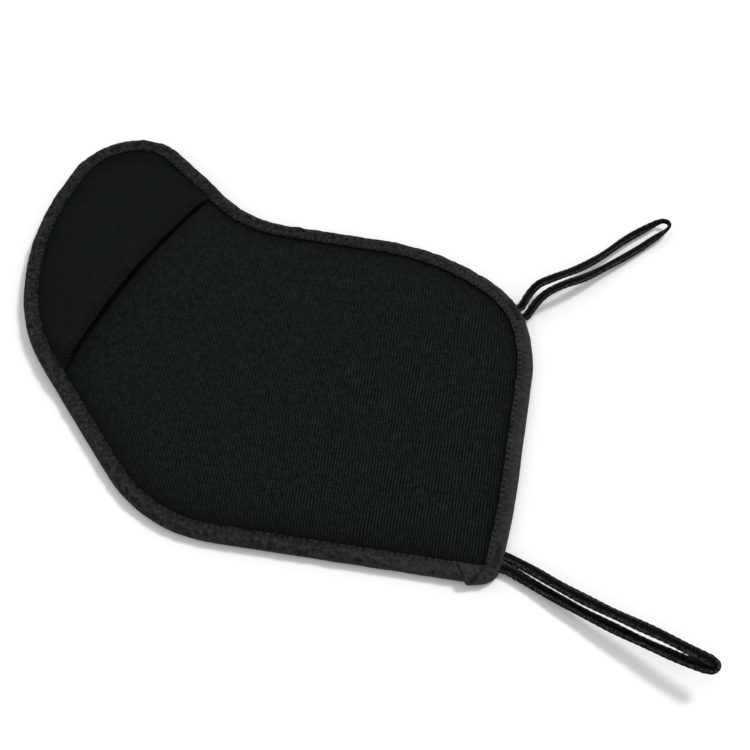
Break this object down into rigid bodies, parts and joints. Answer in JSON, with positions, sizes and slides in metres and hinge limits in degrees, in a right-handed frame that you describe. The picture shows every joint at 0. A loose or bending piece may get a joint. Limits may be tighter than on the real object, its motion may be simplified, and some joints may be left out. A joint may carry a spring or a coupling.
{
  "type": "over-glasses eye patch",
  "caption": "Flat padded knit eye patch with a bound edge, a lens pocket on its side lobe and thin elastic loops sewn into the corners opposite.",
  "frame": {"origin": "middle of the bound panel's box, on the plane that its binding's underside rests on", "axes": "+Z out of the panel's outer face, +X towards the corners with the elastic loops, +Y towards the tip of the pocket lobe"},
  "size_m": [0.1821, 0.1317, 0.0103],
  "materials": {
    "rib_knit": "fine rib-knit jersey, near black, matte",
    "foam": "laminated sheet foam, black, matte",
    "lining": "plain knit lining, near black, matte",
    "pocket_knit": "smooth close knit, near black, matte",
    "binding_tape": "woven binding tape, charcoal black, matte",
    "thread": "spun sewing thread, black, slight sheen",
    "elastic": "braided elastic cord, black, slight sheen"
  },
  "bodies": {
    "patch": {"front_fabric": "rib_knit", "foam_core": "foam", "back_fabric": "lining", "pocket_cover": "pocket_knit", "pocket_edge_stitching": "thread", "edge_binding": "binding_tape", "binding_needle_thread": "thread", "binding_bobbin_thread": "thread", "upper_loop_ends": "elastic", "lower_loop_ends": "elastic", "upper_loop_tack": "thread", "lower_loop_tack": "thread"},
    "upper_elastic": {"upper_loop": "elastic"},
    "lower_elastic": {"lower_loop": "elastic"}
  },
  "joints": [
    {"name": "upper_elastic_bend", "type": "hinge", "parent": "patch", "child": "upper_elastic", "pos_m": [0.06265, 0.01838, 0.0017], "axis": [0.5446, -0.8387, 0], "range_deg": [-85, 60], "stiffness_Nm_per_rad": 0.005},
    {"name": "lower_elastic_bend", "type": "hinge", "parent": "patch", "child": "lower_elastic", "pos_m": [0.06635, -0.05111, 0.0017], "axis": [-0.0872, -0.9962, 0], "range_deg": [-85, 80], "stiffness_Nm_per_rad": 0.005}
  ]
}
